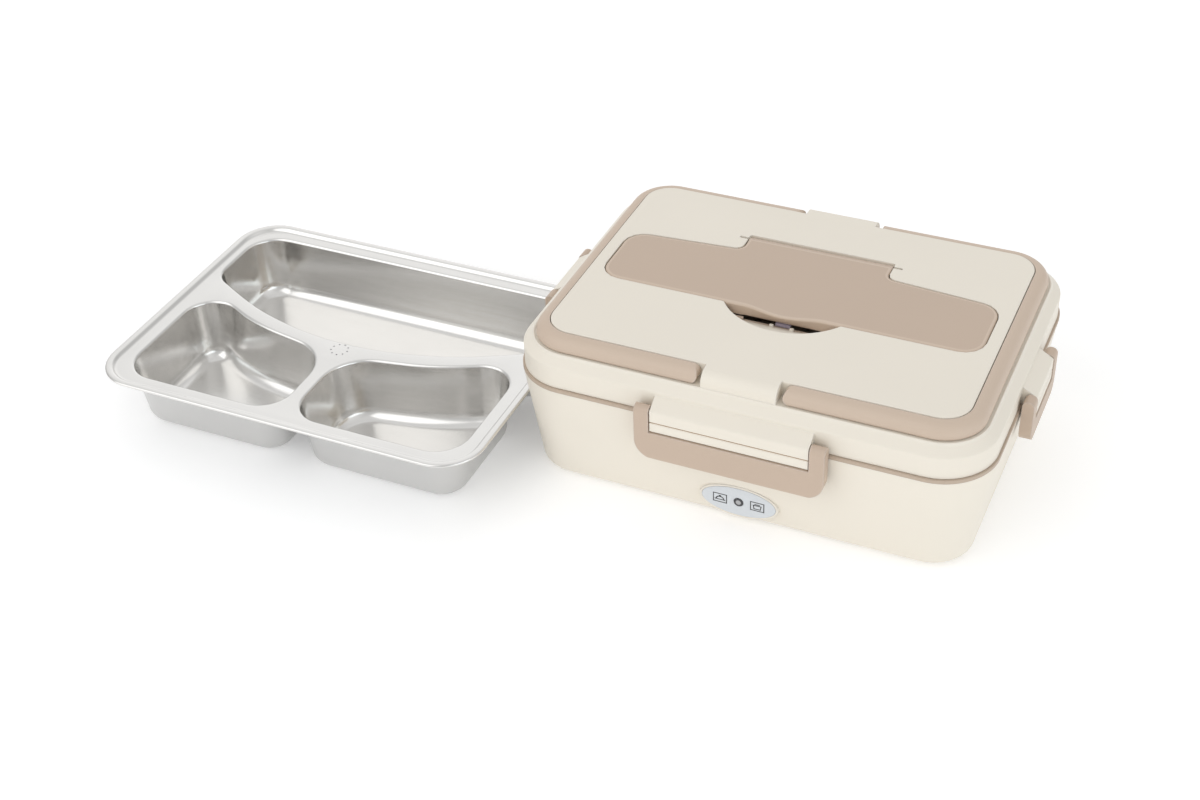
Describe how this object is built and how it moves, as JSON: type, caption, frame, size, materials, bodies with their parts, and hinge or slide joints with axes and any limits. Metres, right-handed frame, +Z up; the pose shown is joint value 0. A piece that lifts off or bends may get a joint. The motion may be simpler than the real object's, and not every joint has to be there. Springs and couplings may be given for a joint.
{
  "type": "electric lunch box",
  "caption": "Cream electric lunch box with a clasped lid, folding carry handles, hinged cutlery cover and front button, with a compartmented steel food tray beside it.",
  "frame": {"origin": "centre, at ground level, of the bounding box round the closed box and the food tray that stands to its left", "axes": "+X runs along the front to the right, +Y points to the back, +Z points up"},
  "size_m": [0.4658, 0.2326, 0.0845],
  "materials": {
    "cream_shell": "satin",
    "beige_plastic": "satin",
    "plate_aluminium": "satin",
    "zinc_steel": "satin",
    "pin_steel": "satin",
    "tray_steel": "brushed",
    "black_plastic": "satin",
    "board_green": "satin",
    "lamp_lens": "clear",
    "panel_grey": "satin",
    "button_dark": "satin",
    "lead_red": "matte",
    "silicone_white": "matte",
    "latch_lilac": "satin"
  },
  "bodies": {
    "base": {"base_shell": "cream_shell", "inner_liner": "beige_plastic", "heating_plate": "plate_aluminium", "ptc_heater": "plate_aluminium", "heater_clamp": "zinc_steel", "clamp_screws": "pin_steel", "thermostat": "black_plastic", "thermal_fuse": "pin_steel", "control_board": "board_green", "board_screws": "pin_steel", "tact_switch": "black_plastic", "indicator_leds": "lamp_lens", "control_panel": "panel_grey", "power_inlet": "black_plastic", "inlet_pins": "pin_steel", "wire_harness": "lead_red", "bottom_cover": "cream_shell", "base_screws": "pin_steel", "feet": "silicone_white"},
    "lid": {"lid_shell": "cream_shell", "lid_inner_plate": "cream_shell", "lid_seal": "silicone_white", "lid_screws": "pin_steel", "cutlery_tub": "beige_plastic", "cover_pins": "pin_steel", "handle_pins": "pin_steel", "clasp_pins": "pin_steel"},
    "cutlery_cover": {"cutlery_cover": "beige_plastic", "cover_latch": "latch_lilac"},
    "left_handle": {"left_handle": "beige_plastic"},
    "right_handle": {"right_handle": "beige_plastic"},
    "front_clasp": {"front_clasp": "beige_plastic"},
    "rear_clasp": {"rear_clasp": "beige_plastic"},
    "left_clasp": {"left_clasp": "beige_plastic"},
    "right_clasp": {"right_clasp": "beige_plastic"},
    "power_button": {"power_button": "button_dark", "switch_plunger": "black_plastic"},
    "food_tray": {"food_tray": "tray_steel"}
  },
  "joints": [
    {"name": "lid_lift", "type": "slide", "parent": "base", "child": "lid", "axis": [0, 0, 1], "range_m": [0, 0.15]},
    {"name": "front_clasp_swing", "type": "hinge", "parent": "lid", "child": "front_clasp", "pos_m": [0.10591, -0.06975, 0.064], "axis": [-1, 0, 0], "range_deg": [0, 110]},
    {"name": "rear_clasp_swing", "type": "hinge", "parent": "lid", "child": "rear_clasp", "pos_m": [0.10591, 0.11325, 0.064], "axis": [1, 0, 0], "range_deg": [0, 110]},
    {"name": "left_clasp_swing", "type": "hinge", "parent": "lid", "child": "left_clasp", "pos_m": [-0.01809, 0.02175, 0.064], "axis": [0, 1, 0], "range_deg": [0, 110]},
    {"name": "right_clasp_swing", "type": "hinge", "parent": "lid", "child": "right_clasp", "pos_m": [0.22991, 0.02175, 0.064], "axis": [0, -1, 0], "range_deg": [0, 110]},
    {"name": "left_handle_swing", "type": "hinge", "parent": "lid", "child": "left_handle", "pos_m": [0.08091, 0.02175, 0.0804], "axis": [0, 1, 0], "range_deg": [0, 103]},
    {"name": "right_handle_swing", "type": "hinge", "parent": "lid", "child": "right_handle", "pos_m": [0.13091, 0.02175, 0.0804], "axis": [0, -1, 0], "range_deg": [0, 103]},
    {"name": "cutlery_cover_swing", "type": "hinge", "parent": "lid", "child": "cutlery_cover", "pos_m": [0.10591, 0.06025, 0.0815], "axis": [-1, 0, 0], "range_deg": [0, 93]},
    {"name": "power_button_press", "type": "slide", "parent": "base", "child": "power_button", "axis": [0, 1, 0], "range_m": [0, 0.0008], "stiffness_N_per_m": 600},
    {"name": "food_tray_slide", "type": "slide", "parent": "base", "child": "food_tray", "axis": [-1, 0, 0], "range_m": [0, 0.1]}
  ]
}
